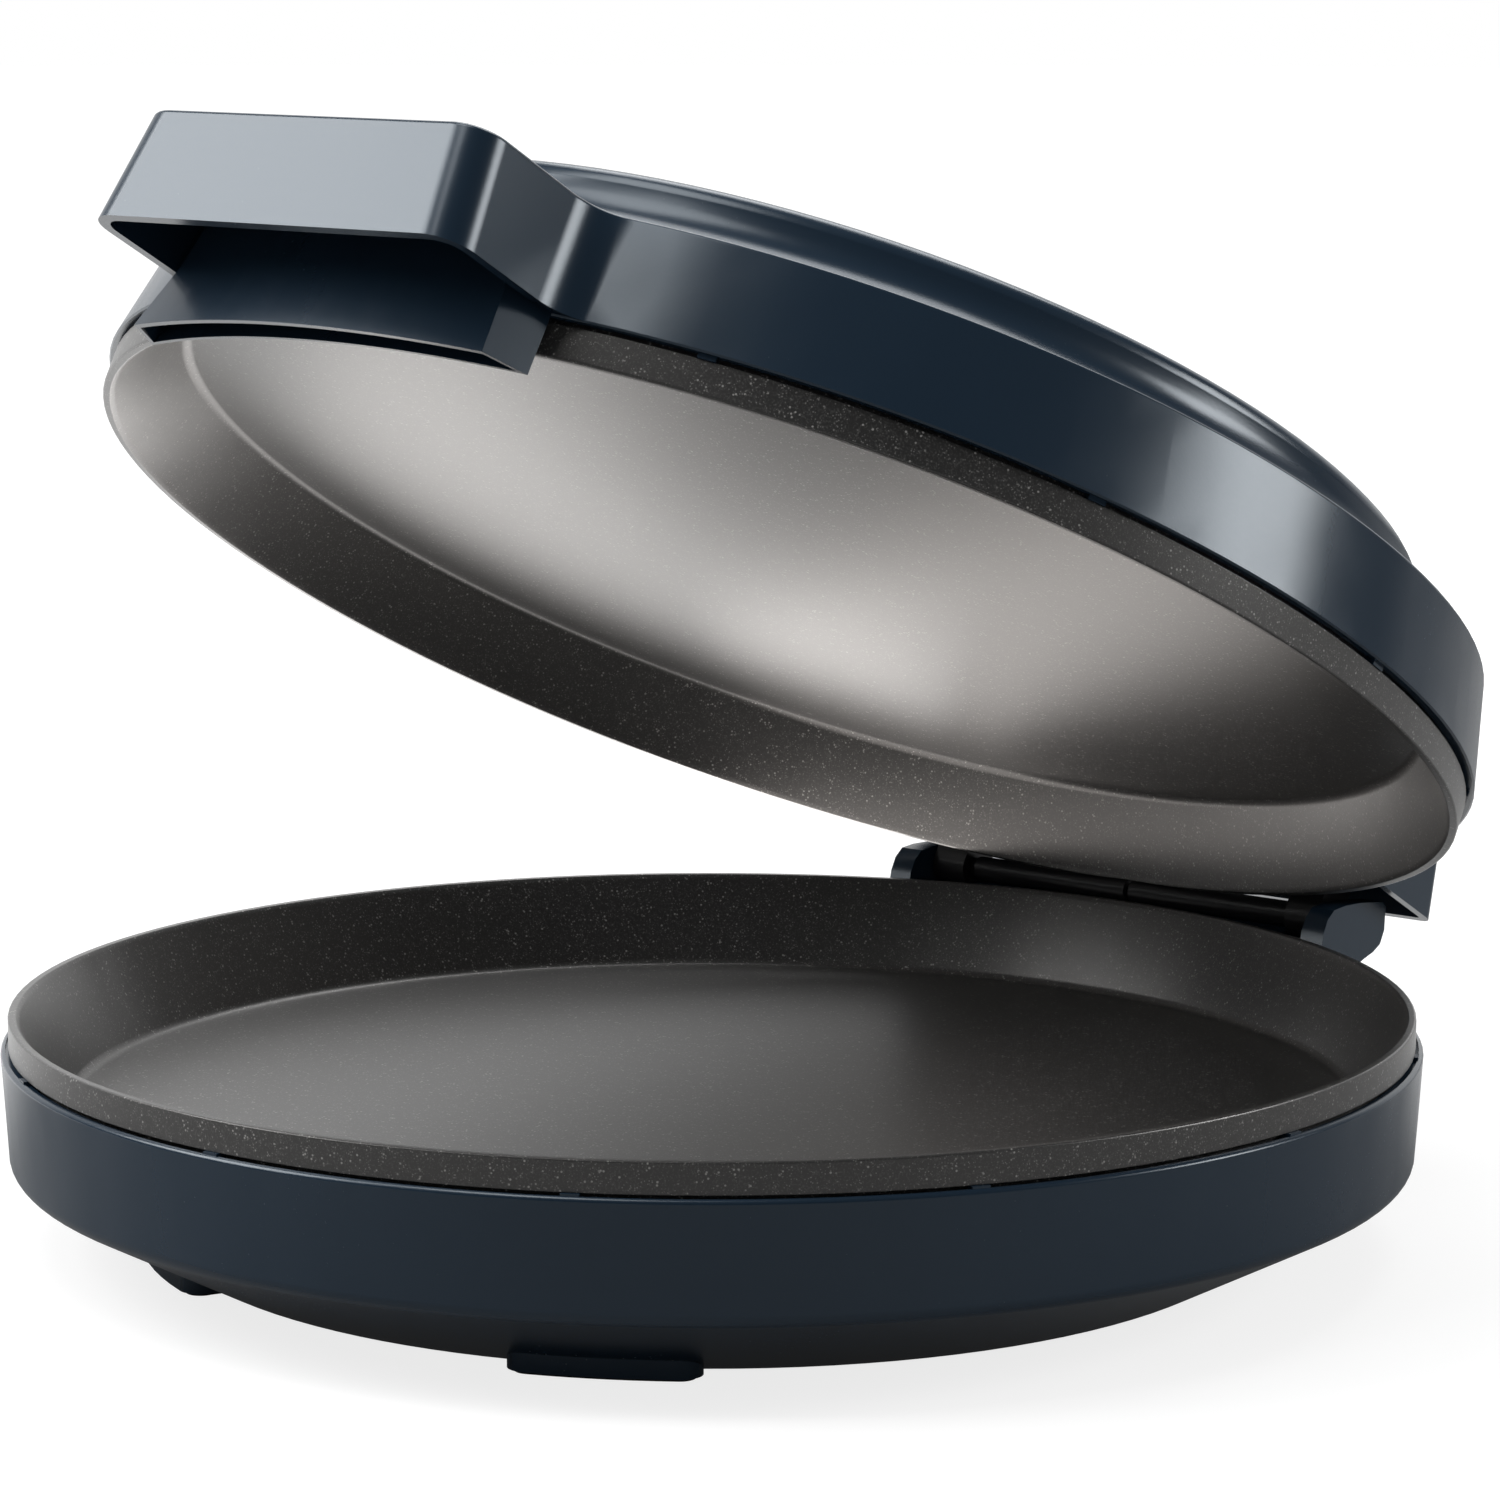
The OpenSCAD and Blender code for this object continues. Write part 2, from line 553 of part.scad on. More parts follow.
// How far the skin runs past both cuts, and the steps of a rounded top edge as [in, up]
over = 2;
function edge_steps(r) = [for (a = [0:22.5:67.5]) [r * (1 - cos(a)), -r * (1 - sin(a))]];
function up(z) = (z - band_z) / band_h;
function handle_plan(z, t, sunk) = block(mix(handle_w, handle_top_w, up(z)) - t,
    mix(handle_y, handle_top_y, up(z)) - t, handle_corner - t, handle_fillet + t, band_at(z) - sunk);
function rear_plan(z, t, sunk) = block(rear_w - 1.5 * up(z) - t,
    mix(rear_y, rear_top_y, up(z)) - t, 3.5 - t, 8 + t, band_at(z) - sunk);
function plan(front, z, t, sunk) = front ? handle_plan(z, t, sunk) : rear_plan(z, t, sunk);
module front_or_rear(front) mirror([0, front ? 0 : 1, 0]) children();
module solid_block(front) front_or_rear(front) loft(concat(
    [[plan(front, band_z - over, 0, 0), band_z - over]],
    [for (e = edge_steps(edge_round)) let (z = band_top_z + e[1]) [plan(front, z, e[0], e[0]), z]],
    [for (e = [[1.15, 0.03], [1.3, over]]) let (z = band_top_z + e[1])
        [plan(front, band_top_z, e[0] * edge_round, e[0] * edge_round), z]]), band_z + hem, band_top_z);
module hollow_block(front, t, z1) front_or_rear(front) loft(
    [for (z = [band_z - over, z1 + over]) [plan(front, z, t, 0), z]], band_z - 1, z1);
// The band's outside, sunk a little so that the hollows bite into its wall
bite = 0.4;
// Step up from the band's lower edge to that of the handle and the rear housing
hem = 0.08;
module band_body() translate([0, 0, band_z - 2])
    cylinder(h = band_h + 2, r1 = band_at(band_z - 2) - bite, r2 = band_top_r - bite);

roof_z = band_top_z - wall;
up_collar = band_r - wall - 0.1 - collar_gap;
plate_y = [hinge_y - 4.5, hinge_y + 15];
guard_post = [30, -band_r - 5.6];
arm_screw_at = [[44, hinge_y + 9], [14, hinge_y + 9]];

module lid_shell() color(navy) lid_pose() difference() {
    union() {
        rotate_extrude() lid_profile();
        difference() {
            union() {
                solid_block(true);
                solid_block(false);
            }
            difference() {
                union() {
                    hollow_block(true, handle_wall, band_top_z - handle_wall);
                    hollow_block(false, wall, roof_z);
                }
                band_body();
            }
        }
        shell_tabs(up_collar - tab_reach, band_r - wall + 0.3, up_rim_z + up_flange + tab_z[0],
            up_rim_z + up_flange + tab_z[1]);
        shell_tabs(up_collar + 0.1, band_r - 1.2, up_rim_z + up_flange, band_z + 4);
    }
    both_sides() {
        translate([guard_post[0], guard_post[1], roof_z - 5]) cylinder(h = 6.2, r = tap_r);
        for (p = arm_screw_at) translate([p[0], p[1], roof_z - 3]) cylinder(h = 4.5, r = tap_r);
    }
}

// The guard is an arc-shaped box, open below, with ends that lean inwards
guard_bore_r = screw_r + 0.2;
guard_top_z = band_z + 13;
module guard_arc(t) rotate(180) rotate_extrude(angle = 180) polygon([
    [guard_in_r + t, guard_z - (t > 0 ? 1 : 0)], [guard_r - t, guard_z - (t > 0 ? 1 : 0)],
    [guard_mid_r - t, band_z], [guard_mid_r - 1.3 - t, guard_top_z - t],
    [band_at(guard_top_z) + 0.15 + t, guard_top_z - t], [band_r + 0.15 + t, band_z]]);
module guard_wedge(t) {
    function end_x(y, z) = guard_w + 0.38 * (y + guard_in_r + 1.7) - 0.307 * (z - guard_z) - t;
    near = -guard_r - 20;
    far = -guard_in_r + 20;
    function ring_at(z) = [for (p = [[1, near], [1, far], [-1, far], [-1, near]])
        [p[0] * end_x(p[1], z), p[1], z]];
    polyhedron(concat(ring_at(guard_z - 2), ring_at(guard_top_z + 1)), [[0, 1, 2, 3],
        [7, 6, 5, 4], [0, 4, 5, 1], [1, 5, 6, 2], [2, 6, 7, 3], [3, 7, 4, 0]]);
}
module finger_guard() color(navy) lid_pose() difference() {
    union() {
        difference() {
            intersection() { guard_arc(0); guard_wedge(0); }
            intersection() { guard_arc(guard_wall); guard_wedge(guard_wall); }
        }
        both_sides() translate([guard_post[0], guard_post[1], guard_top_z - 0.5])
            cylinder(h = band_top_z - handle_wall - guard_top_z + 0.5, r = guard_bore_r + guard_wall);
    }
    both_sides() translate([guard_post[0], guard_post[1], guard_top_z - 4])
        cylinder(h = band_top_z - guard_top_z + 4, r = guard_bore_r);
}
module guard_screws() color(steel) lid_pose() both_sides()
    translate([guard_post[0], guard_post[1], guard_top_z - guard_wall])
        screw(band_top_z - guard_top_z - 0.4, 2, 1.6);

module upper_pan() color(pan_grey) lid_pose() difference() {
    translate([0, 0, up_rim_z]) pan(up_rim_r, up_collar, up_flange, up_depth);
    // flat that clears the hinge barrels
    translate([-arm_out + 0.5, hinge_y - barrel_r - 0.4, up_rim_z - 1])
        cube([2 * arm_out - 1, 20, up_flange + 1]);
}
module upper_heating_element() color(steel) on_up_back() heating_element();
module upper_element_clamps() color(steel) on_up_back() element_clamps();
module upper_pan_screws() color(steel) on_up_back() pan_screws();
module upper_heat_reflector() color(steel) on_up_back() heat_reflector();
module upper_thermostat() color(black) on_up_back() thermostat();
wool_t = 8;
wool_r = reflector_r - 7;
module lid_insulation() color("#d9d2bd") on_up_back() translate([0, 0, reflector_gap + sheet])
    difference() {
        cylinder(h = wool_t, r = wool_r);
        translate([0, 0, -1]) {
            cylinder(h = wool_t + 2, r = reflector_hole + 2);
            around(3, post_r, 30) cylinder(h = wool_t + 2, r = 4.5);
            for (s = [-1, 1]) rotate(90 + s * end_angle) translate([element_r, 0, 0])
                cylinder(h = wool_t + 2, r = 6);
        }
    }
// Leads run over the wool, round its edge and into the hinge arms
tab_z_up = up_back + tab_top + wire_gap;
stat_z_up = up_back + stat_top + wire_gap;
over_wool = up_back + reflector_gap + sheet + wool_t + 3;
module lid_wiring() color("#8c2f2a") lid_pose() {
    for (s = [-1, 1]) wire([[s * end_pin[0], end_pin[1], tab_z_up],
        [s * (end_pin[0] - 0.6), end_pin[1] + 1, tab_z_up + 1.6], [s * 28, mix(end_pin[1], wool_r, 0.6), over_wool],
        [s * 26, wool_r + 2, over_wool - 2.5], [s * 25, wool_r + 10, roof_z + 3.7],
        [s * 23.5, wool_r + 18, roof_z - 2.3], [s * 22.5, plate_y[0] - 10, roof_z - 4],
        [s * 22.5, plate_y[0] - 6, roof_z - 4]]);
    for (s = [-1, 1]) wire([[s * stat_x, 0, stat_z_up], [s * stat_x, 3, over_wool + 1],
        [s * 12, 40, over_wool], [s * 20, wool_r - 40, over_wool], [s * 22, wool_r - 16, over_wool]]);
}

// ---- Hinge ------------------------------------------------------------------------------

module hinge_pins() color(steel) at_pose() both_sides() translate([0, hinge_y, hinge_z])
    difference() {
        along_x(arm_x + 1.4, ear_out - 1.6, pin_r);
        along_x(arm_x, ear_out, 1.3);
    }
module hinge_arms() color(black) lid_pose() difference() {
    union() {
        both_sides() {
            translate([0, hinge_y, hinge_z]) along_x(arm_x, arm_out, arm_r);
            translate([arm_x, hinge_y - arm_r, hinge_z]) cube([arm_t, 2 * arm_r, roof_z - hinge_z - 1]);
        }
        translate([-arm_out, plate_y[0], roof_z - 2.5]) cube([2 * arm_out, plate_y[1] - plate_y[0], 2.5]);
    }
    both_sides() {
        translate([0, hinge_y, hinge_z]) {
            along_x(arm_x + 1, arm_out + 1, pin_r + 1.02);
            along_x(arm_x - 1, arm_out, 1.4);
        }
        for (p = arm_screw_at) translate([p[0], p[1], roof_z - 4]) cylinder(h = 5, r = clear_r);
    }
}
module hinge_bushes() color("#a8895a") lid_pose() both_sides() translate([0, hinge_y, hinge_z])
    difference() {
        along_x(arm_x + 1, arm_out, pin_r + 1);
        along_x(arm_x, arm_out + 1, pin_r + run_gap);
    }
module hinge_barrels() color(black) lid_pose() both_sides() translate([0, hinge_y, hinge_z])
    difference() {
        union() {
            along_x(0.6, arm_x - 1.5, barrel_r);
            along_x(arm_x - 1.6, arm_x, barrel_r - 0.6);
        }
        along_x(0, arm_x + 1, 1.9);
    }
module arm_screws() color(steel) lid_pose() both_sides() for (p = arm_screw_at)
    translate([p[0], p[1], roof_z - 2.5]) screw(wall + 1.4, 2);

base_shell();
bottom_cover();
foot_pads();
cover_screws();
lower_pan();
lower_heating_element();
lower_element_clamps();
lower_pan_screws();
lower_heat_reflector();
lower_thermostat();
thermal_fuse();
terminal_block();
terminal_screws();
base_wiring();
cord_inlet();
hinge_pins();
lid_shell();
finger_guard();
guard_screws();
upper_pan();
upper_heating_element();
upper_element_clamps();
upper_pan_screws();
upper_heat_reflector();
upper_thermostat();
lid_insulation();
lid_wiring();
hinge_arms();
hinge_barrels();
hinge_bushes();
arm_screws();
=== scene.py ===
# %% [markdown]
# # An electric pizza maker, dressed for its portrait
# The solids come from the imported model, already at their real size and in their real places.
# This lesson rounds their edges, gives them finishes and lights them in a small white studio.
# Every length is in metres.

# %% Load the frame
import json
import math

import bmesh
import bpy
from mathutils import Matrix, Vector


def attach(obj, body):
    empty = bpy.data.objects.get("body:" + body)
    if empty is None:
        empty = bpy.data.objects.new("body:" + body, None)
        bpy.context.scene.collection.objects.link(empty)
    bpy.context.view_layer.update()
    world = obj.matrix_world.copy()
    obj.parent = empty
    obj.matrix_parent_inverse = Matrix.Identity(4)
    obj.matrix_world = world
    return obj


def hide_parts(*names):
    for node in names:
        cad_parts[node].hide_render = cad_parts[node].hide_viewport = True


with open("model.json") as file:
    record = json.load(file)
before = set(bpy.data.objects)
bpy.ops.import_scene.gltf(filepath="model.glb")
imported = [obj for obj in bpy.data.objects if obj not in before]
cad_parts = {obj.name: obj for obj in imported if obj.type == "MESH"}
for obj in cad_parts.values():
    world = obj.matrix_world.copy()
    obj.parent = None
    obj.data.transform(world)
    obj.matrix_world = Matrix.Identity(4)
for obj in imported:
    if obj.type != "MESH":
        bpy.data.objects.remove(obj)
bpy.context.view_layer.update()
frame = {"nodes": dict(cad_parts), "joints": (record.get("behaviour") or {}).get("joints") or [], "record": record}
nodes = frame["nodes"]
hinge = frame["joints"][0]
hinge_at = Vector(hinge["pos_m"])

# %% [markdown]
# ## The camera
# A long lens stands a little above the rim of the base, forty degrees round from the front. Its
# aim is a little off the middle of the base, so the lid's raised handle stays in the picture.
# The camera's axes are worked out from angles, and its lens and shift in parts of the picture.

# %% Camera
MM = 0.001
PICTURE = 1500
AZIMUTH, ELEVATION = math.radians(40.234), math.radians(12.103)
AIM_TURN, AIM_DROP, ROLL = math.radians(0.094), math.radians(2.29), math.radians(0.053)
DISTANCE = 1266.87 * MM
LENS_PIXELS = 5415.361
CENTRE_X, CENTRE_Y = 720.981, 814.215
HINGE_BEHIND_BASE = 167 * MM
BASE_EDGE = 47.5 * MM

base_axis = Vector((0, hinge_at.y - HINGE_BEHIND_BASE, 0))
target = base_axis + Vector((0, 0, BASE_EDGE))


def towards(azimuth, elevation):
    """Unit vector from the object out to a place at that azimuth and elevation."""
    level = math.cos(elevation)
    return Vector((math.sin(azimuth) * level, -math.cos(azimuth) * level, math.sin(elevation)))


def make_camera():
    place = target + DISTANCE * towards(AZIMUTH, ELEVATION)
    ahead = -towards(AZIMUTH - AIM_TURN, ELEVATION - AIM_DROP)
    right = ahead.cross(Vector((0, 0, 1))).normalized()
    up = right.cross(ahead)
    rolled_right = math.cos(ROLL) * right + math.sin(ROLL) * up
    rolled_up = math.cos(ROLL) * up - math.sin(ROLL) * right
    axes = Matrix((rolled_right, rolled_up, -ahead)).transposed().to_4x4()
    lens = bpy.data.cameras.new("camera")
    lens.sensor_fit = "HORIZONTAL"
    lens.sensor_width = 36
    lens.lens = LENS_PIXELS / PICTURE * lens.sensor_width
    lens.shift_x = (PICTURE / 2 - CENTRE_X) / PICTURE
    lens.shift_y = (CENTRE_Y - PICTURE / 2) / PICTURE
    camera = bpy.data.objects.new("camera", lens)
    camera.matrix_world = Matrix.Translation(place) @ axes
    bpy.context.scene.collection.objects.link(camera)
    bpy.context.scene.camera = camera
    return camera


camera = make_camera()
print("camera", [round(v, 3) for v in camera.location], "lens", round(camera.data.lens, 1))

# %% [markdown]
# ## Writing materials as sums
# A material is a small calculation that runs at every point of a surface. Nodes say it with boxes
# and wires, which are hard to read in a script, so one small class lets Python's own operators
# place the Math nodes. `grain * 0.3 + 0.2` is then a node tree.

# %% A socket that can be added and multiplied


class Sum:
    """Wraps a node's output so that expressions on it add Math nodes."""

    def __init__(self, finish, output):
        self.finish, self.output = finish, output

    def _math(self, operation, *values, clamp=False):
        return self.finish.node("ShaderNodeMath", *values, operation=operation, use_clamp=clamp)

    def __add__(self, other):
        return self._math("ADD", self, other)

    def __mul__(self, other):
        return self._math("MULTIPLY", self, other)

    def __sub__(self, other):
        return self._math("SUBTRACT", self, other)

    def __rsub__(self, other):
        return self._math("SUBTRACT", other, self)

    def __truediv__(self, other):
        return self._math("DIVIDE", self, other)

    def __pow__(self, other):
        return self._math("POWER", self, other)

    __radd__, __rmul__ = __add__, __mul__

    def clamped(self):
        return self._math("ADD", self, 0.0, clamp=True)

    def smooth(self, low, high, out_low=0.0, out_high=1.0):
        """Eases from out_low to out_high as the value goes from low to high."""
        return self.finish.node("ShaderNodeMapRange", self, low, high, out_low, out_high,
                                interpolation_type="SMOOTHSTEP")


class Finish:
    """One material: a Principled surface and the nodes that feed it."""

    def __init__(self, name, colour, roughness, **surface):
        self.material = bpy.data.materials.new(name)
        self.material.use_nodes = True
        self.tree = self.material.node_tree
        self.surface = self.tree.nodes["Principled BSDF"]
        self.material.diffuse_color = (*colour, 1)
        self.set("Base Color", (*colour, 1))
        self.set("Roughness", roughness)
        for socket, value in surface.items():
            self.set(socket.replace("_", " "), value)

    def _feed(self, socket, value):
        if isinstance(value, Sum):
            self.tree.links.new(value.output, socket)
        else:
            socket.default_value = value

    def node(self, kind, *values, pick=0, **settings):
        """Adds a node: its settings first, then its sockets by order or, in a dict, by name."""
        made = self.tree.nodes.new(kind)
        for name, value in settings.items():
            setattr(made, name, value)
        inputs = [s for s in made.inputs if s.enabled]
        for place, value in enumerate(values):
            if isinstance(value, dict):
                for name, item in value.items():
                    self._feed(next(s for s in inputs if s.name == name), item)
            else:
                self._feed(inputs[place], value)
        outputs = [s for s in made.outputs if s.enabled]
        chosen = outputs[pick] if isinstance(pick, int) else made.outputs[pick]
        return Sum(self, chosen)

    def set(self, socket, value):
        self._feed(self.surface.inputs[socket], value)

    def place(self):
        return self.node("ShaderNodeTexCoord", pick="Object")

    def along(self, place, heading):
        """How far a place lies in one direction."""
        return self.node("ShaderNodeVectorMath", place, tuple(heading), operation="DOT_PRODUCT",
                         pick="Value")

    def noise(self, size, detail=2.0, at=None):
        """Soft blotches about size across, from 0 to 1."""
        return self.node("ShaderNodeTexNoise", {"Vector": at or self.place(), "Scale": 1 / size,
                                                "Detail": detail}, pick="Fac")

    def cells(self, size, at=None, feature="F1"):
        """Distance to the nearest of scattered points about size apart, in parts of size."""
        return self.node("ShaderNodeTexVoronoi", {"Vector": at or self.place(), "Scale": 1 / size},
                         feature=feature, pick="Distance")

    def blend(self, amount, low, high):
        """Colour that goes from low to high with amount."""
        return self.node("ShaderNodeMix", {"Factor": amount, "A": self._colour(low),
                                           "B": self._colour(high)}, data_type="RGBA")

    def _colour(self, value):
        return value if isinstance(value, Sum) else (*value, 1)

    def bump(self, height, depth, strength=1.0):
        self.set("Normal", self.node("ShaderNodeBump", {"Strength": strength, "Distance": depth,
                                                        "Height": height}))


def srgb(*levels):
    """Scene colour for levels from 0 to 255 as a screen shows them."""
    parts = [v / 255 for v in levels]
    return tuple(p / 12.92 if p <= 0.04045 else ((p + 0.055) / 1.055) ** 2.4 for p in parts)


# %% [markdown]
# ## The studio
# Satin navy plastic shows its shape mostly by what it reflects, so the surroundings matter as much
# as the paint. The lens sees pure white everywhere, but for the object's shadow on the floor.
# Reflections see that white behind the object only, and dark in front of it and at its right,
# which keeps the navy deep and draws pale lines along the edges.

# %% Floor and world
FLOOR_RADIUS, FLOOR_DROP = 8, 0.2 * MM
FLOOR_SEEN, SEEN_NEAR, SEEN_FAR = 0.80, 0.25, 0.9
FLOOR_FRONT, FLOOR_BACK, FLOOR_RIGHT = 0.03, 1.0, 0.15
WORLD_FRONT, WORLD_BACK = 0.02, 1.0
WORLD_FILL = 0.35
FLOOR_FADE_BACK, FLOOR_FADE_RIGHT = (0.02, 0.2), (0.12, 0.34)
WORLD_FADE_BACK = (0.42, 0.8)
away = -towards(AZIMUTH, 0)
rightwards = towards(AZIMUTH + math.pi / 2, 0)


def make_floor():
    mesh = bmesh.new()
    bmesh.ops.create_circle(mesh, cap_ends=True, cap_tris=False, segments=96,
                            radius=FLOOR_RADIUS)
    bmesh.ops.translate(mesh, verts=mesh.verts, vec=(0, 0, -FLOOR_DROP))
    data = bpy.data.meshes.new("floor")
    mesh.to_mesh(data)
    mesh.free()
    floor = bpy.data.objects.new("floor", data)
    bpy.context.scene.collection.objects.link(floor)
    pale = Finish("floor_white", (0.25, 0.25, 0.25), 0.9, Specular_IOR_Level=0.0)
    place = pale.place()
    behind, beside = pale.along(place, away), pale.along(place, rightwards)
    distance = pale.node("ShaderNodeVectorMath", place, operation="LENGTH", pick="Value")
    seen = pale.node("ShaderNodeLightPath", pick="Is Camera Ray")
    mirrored = pale.node("ShaderNodeLightPath", pick="Is Glossy Ray")
    to_lens = distance.smooth(SEEN_NEAR, SEEN_FAR, FLOOR_SEEN, 1.0)
    from_front = behind.smooth(*FLOOR_FADE_BACK, FLOOR_FRONT, FLOOR_BACK)
    from_right = beside.smooth(*FLOOR_FADE_RIGHT, 1.0, FLOOR_RIGHT)
    pale.set("Emission Color", seen * to_lens + mirrored * from_front * from_right)
    pale.set("Emission Strength", 1.0)
    data.materials.append(pale.material)
    return floor


class World(Finish):
    """The surroundings: one background, its colour worked out like any other finish."""

    def __init__(self, name):
        self.material = bpy.data.worlds.new(name)
        self.material.use_nodes = True
        self.tree = self.material.node_tree
        self.surface = self.tree.nodes["Background"]


def make_world():
    world = World("studio")
    heading = world.node("ShaderNodeTexCoord", pick="Generated")
    seen = world.node("ShaderNodeLightPath", pick="Is Camera Ray")
    mirrored = world.node("ShaderNodeLightPath", pick="Is Glossy Ray")
    gloss = world.along(heading, away).smooth(*WORLD_FADE_BACK, WORLD_FRONT, WORLD_BACK)
    world.set("Color", seen + mirrored * gloss + (1 - seen - mirrored).clamped() * WORLD_FILL)
    bpy.context.scene.world = world.material


make_floor()
make_world()

# %% [markdown]
# ## The lamps
# Four soft boxes stand round the object: one high on the left fills the handle's front, one above
# it softens the band beside the handle, one at the right rear lays the pale patch on the band, and
# one overhead lights the crown. Two small warm cards lie face up and fill the upper pan's floor,
# one above the lower pan's rear rim and one on the table behind. The lens doesn't see them.

# %% Soft boxes and cards
SOFT_BOXES_FACE = Vector((0, 0, 0.12))
# Degrees of azimuth and elevation, metres away, width, height, and how bright it looks
SOFT_BOXES = {
    "left_front": (-51, 36, 1.6, 1.0, 0.8, 8.0),
    "left_top": (-25, 68, 1.6, 0.8, 0.7, 5.5),
    "right_rear": (126, 22, 1.6, 0.56, 0.5, 10.5),
    "overhead": (-156, 56, 1.8, 1.4, 1.0, 4),
}
# Millimetres from the base's middle, degrees of turn, width, depth, and how bright it looks
CARDS = {
    "rim_card": ((-48, 125, 62), -24, 260, 60, 1.8),
    "table_card": ((-245, 165, 3), -40, 260, 200, 1.6),
}
CARD_COLOUR = (1.0, 0.95, 0.915)


def area_lamp(name, width, depth, glow):
    """A rectangular lamp, its power worked out from how bright it looks."""
    data = bpy.data.lights.new(name, "AREA")
    data.shape = "RECTANGLE"
    data.size, data.size_y = width, depth
    data.energy = glow * math.pi * width * depth
    lamp = bpy.data.objects.new(name, data)
    bpy.context.scene.collection.objects.link(lamp)
    return lamp


def soft_box(name, azimuth, elevation, away_by, width, height, glow):
    lamp = area_lamp(name, width, height, glow)
    out = towards(math.radians(azimuth), math.radians(elevation))
    lamp.location = SOFT_BOXES_FACE + out * away_by
    lamp.rotation_mode = "QUATERNION"
    lamp.rotation_quaternion = out.to_track_quat("Z", "Y")


def lay_card(name, at, turn, width, depth, glow):
    card = area_lamp(name, width * MM, depth * MM, glow)
    card.data.color = CARD_COLOUR
    card.location = base_axis + Vector(at) * MM
    card.rotation_euler = (math.pi, 0, math.radians(turn))
    card.visible_camera = False


for name, numbers in SOFT_BOXES.items():
    soft_box(name, *numbers)
for name, numbers in CARDS.items():
    lay_card(name, *numbers)

scene = bpy.context.scene
scene.view_settings.view_transform = "Standard"

# %% [markdown]
# ## Finishes
# The shells are navy plastic with a fine satin texture. The pans are cast aluminium under a dark
# non-stick coat with pale flecks. Steel, bronze, rubber and the small parts inside each get the
# grain of their own stuff.

# %% Navy satin plastic


def satin_navy():
    navy = Finish("satin_navy", srgb(27, 42, 56), 0.3, Specular_IOR_Level=0.55,
                  Specular_Tint=(0.86, 0.94, 1.0, 1.0))
    cloud = navy.noise(0.05, 3)
    navy.set("Base Color", navy.blend(cloud, srgb(25, 40, 54), srgb(29, 45, 60)))
    grain = navy.noise(0.0007, 1)
    navy.set("Roughness", 0.21 + 0.04 * cloud + 0.05 * grain)
    navy.bump(grain, 0.00002, 0.35)
    return navy.material


# %% Speckled non-stick coat


def nonstick():
    coat = Finish("nonstick", srgb(52, 52, 51), 0.33, Specular_IOR_Level=0.9,
                  Specular_Tint=(1.0, 0.97, 0.945, 1.0), Coat_Weight=0.4, Coat_Roughness=0.35)
    mottle = coat.noise(0.03, 3)
    fine = coat.noise(0.00045, 2)
    fleck = coat.cells(0.0011).smooth(0.30, 0.12)
    chosen = coat.noise(0.0024, 1).smooth(0.48, 0.62)
    dust = coat.cells(0.0006).smooth(0.34, 0.14) * coat.noise(0.0015, 1).smooth(0.42, 0.6)
    ground = coat.blend(mottle, srgb(36, 36, 36), srgb(46, 46, 46))
    grainy = coat.blend(fine.smooth(0.5, 0.72), ground, srgb(70, 70, 69))
    dusty = coat.blend(dust.clamped(), grainy, srgb(118, 117, 115))
    coat.set("Base Color", coat.blend((fleck * chosen).clamped(), dusty, srgb(150, 149, 146)))
    coat.set("Roughness", 0.32 + 0.12 * fine)
    coat.bump(fine + fleck * chosen * 0.5, 0.00004, 0.4)
    return coat.material


# %% Plastic, rubber, metal and the parts inside


def black_plastic():
    black = Finish("black_plastic", srgb(24, 24, 26), 0.38)
    grain = black.noise(0.0008, 2)
    black.set("Base Color", black.blend(grain, srgb(20, 20, 22), srgb(28, 28, 30)))
    black.set("Roughness", 0.34 + 0.10 * grain)
    black.bump(grain, 0.00003, 0.4)
    return black.material


def black_rubber():
    rubber = Finish("black_rubber", srgb(26, 26, 26), 0.85)
    grain = rubber.noise(0.0012, 3)
    rubber.set("Base Color", rubber.blend(grain, srgb(20, 20, 20), srgb(34, 34, 34)))
    rubber.set("Roughness", 0.75 + 0.15 * grain)
    rubber.bump(grain, 0.00008, 0.6)
    return rubber.material


def metal(name, dull, bright, roughness, size=0.002):
    made = Finish(name, bright, roughness, Metallic=1.0)
    wear = made.noise(size, 4)
    made.set("Base Color", made.blend(wear, dull, bright))
    made.set("Roughness", roughness - 0.06 + 0.12 * wear)
    made.bump(wear, 0.00002, 0.3)
    return made.material


def plain(name, low, high, roughness, size, depth):
    made = Finish(name, low, roughness)
    grain = made.noise(size, 3)
    made.set("Base Color", made.blend(grain, low, high))
    made.set("Roughness", roughness - 0.05 + 0.1 * grain)
    made.bump(grain, depth, 0.6)
    return made.material


finishes = {
    "shell": satin_navy(),
    "nonstick": nonstick(),
    "black_plastic": black_plastic(),
    "rubber": black_rubber(),
    "steel": metal("zinc_steel", srgb(150, 150, 148), srgb(190, 191, 190), 0.32),
    "sheath": metal("element_sheath", srgb(92, 84, 78), srgb(128, 120, 112), 0.45, 0.006),
    "bronze": metal("bearing_bronze", srgb(140, 104, 58), srgb(176, 138, 84), 0.35),
    "brass": metal("brass", srgb(176, 140, 66), srgb(206, 172, 92), 0.28),
    "ceramic": plain("ceramic", srgb(222, 216, 202), srgb(236, 231, 219), 0.5, 0.002, 0.00003),
    "fuse": plain("fuse_sleeve", srgb(206, 198, 164), srgb(222, 214, 182), 0.4, 0.001, 0.00002),
    "wire": plain("wire_sleeve", srgb(132, 36, 30), srgb(158, 50, 40), 0.55, 0.0008, 0.00005),
    "wool": plain("mineral_wool", srgb(206, 196, 166), srgb(232, 224, 200), 0.95, 0.002, 0.0006),
}
print("finishes", len(finishes))

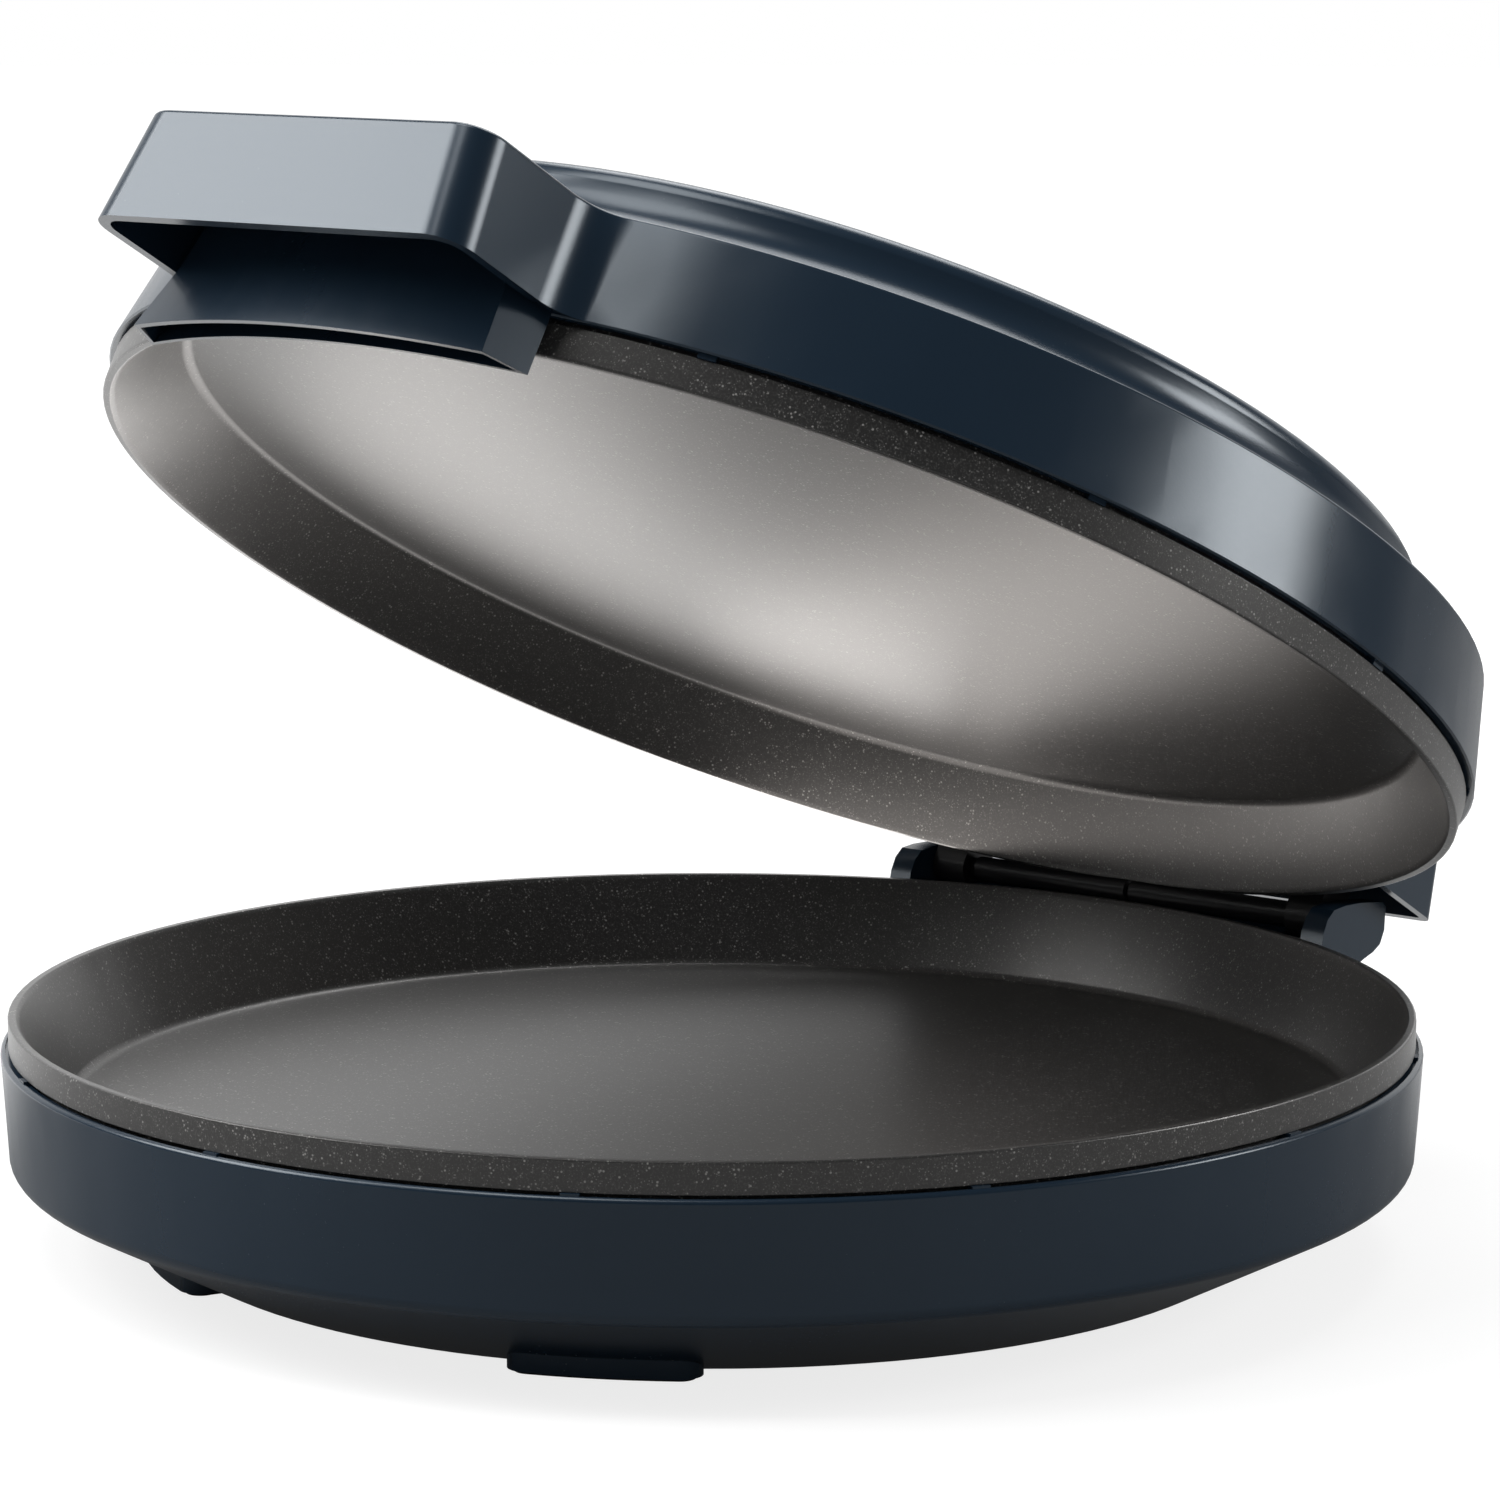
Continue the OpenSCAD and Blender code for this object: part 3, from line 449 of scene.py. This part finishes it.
# %% [markdown]
# ## Rounded copies of the solids
# Moulded and turned parts have no sharp edges, and it is the thin light along an edge that makes
# plastic look real. Each solid gets a copy whose edges are rounded and whose curves are shaded
# smooth. The copy stands for the solid, which stays unseen for the collisions.

# %% Round, smooth and paint each piece
EDGE_ROUNDS = {"shell": 0.35 * MM, "nonstick": 0.3 * MM, "black_plastic": 0.25 * MM,
               "rubber": 0.3 * MM}
CREASE = math.radians(28)


def opening_angle(edge):
    return edge.calc_face_angle(math.pi) if len(edge.link_faces) == 2 else math.pi


def rounded_copy(node, body, slot):
    mesh = bmesh.new()
    mesh.from_mesh(nodes[node].data)
    bmesh.ops.remove_doubles(mesh, verts=mesh.verts, dist=0.002 * MM)
    bmesh.ops.dissolve_limit(mesh, angle_limit=math.radians(0.6), verts=mesh.verts,
                             edges=mesh.edges, delimit=set())
    bmesh.ops.recalc_face_normals(mesh, faces=mesh.faces)
    radius = EDGE_ROUNDS.get(slot, 0.1 * MM)
    edges = [e for e in mesh.edges if CREASE < opening_angle(e) < math.pi]
    bmesh.ops.bevel(mesh, geom=edges, offset=radius, segments=2, profile=0.5, affect="EDGES",
                    material=-1, clamp_overlap=True)
    for face in mesh.faces:
        face.smooth = True
    for edge in mesh.edges:
        edge.smooth = opening_angle(edge) < CREASE
    data = bpy.data.meshes.new(node + "_rounded")
    mesh.to_mesh(data)
    mesh.free()
    data.materials.append(finishes[slot])
    piece = bpy.data.objects.new(node + "_rounded", data)
    bpy.context.scene.collection.objects.link(piece)
    even = piece.modifiers.new("even_shading", "WEIGHTED_NORMAL")
    even.keep_sharp = True
    even.weight = 80
    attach(piece, body)
    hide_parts(node)
    return piece


body_with = {node: body for body, held in frame["record"]["behaviour"]["bodies"].items()
             for node in held}
pieces = {}
for part in frame["record"]["subparts"]:
    name, slot = part["node"], part["material_slot"]
    pieces[name] = rounded_copy(name, body_with[name], slot)
print("pieces", len(pieces), "triangles",
      sum(len(face.vertices) - 2 for p in pieces.values() for face in p.data.polygons))
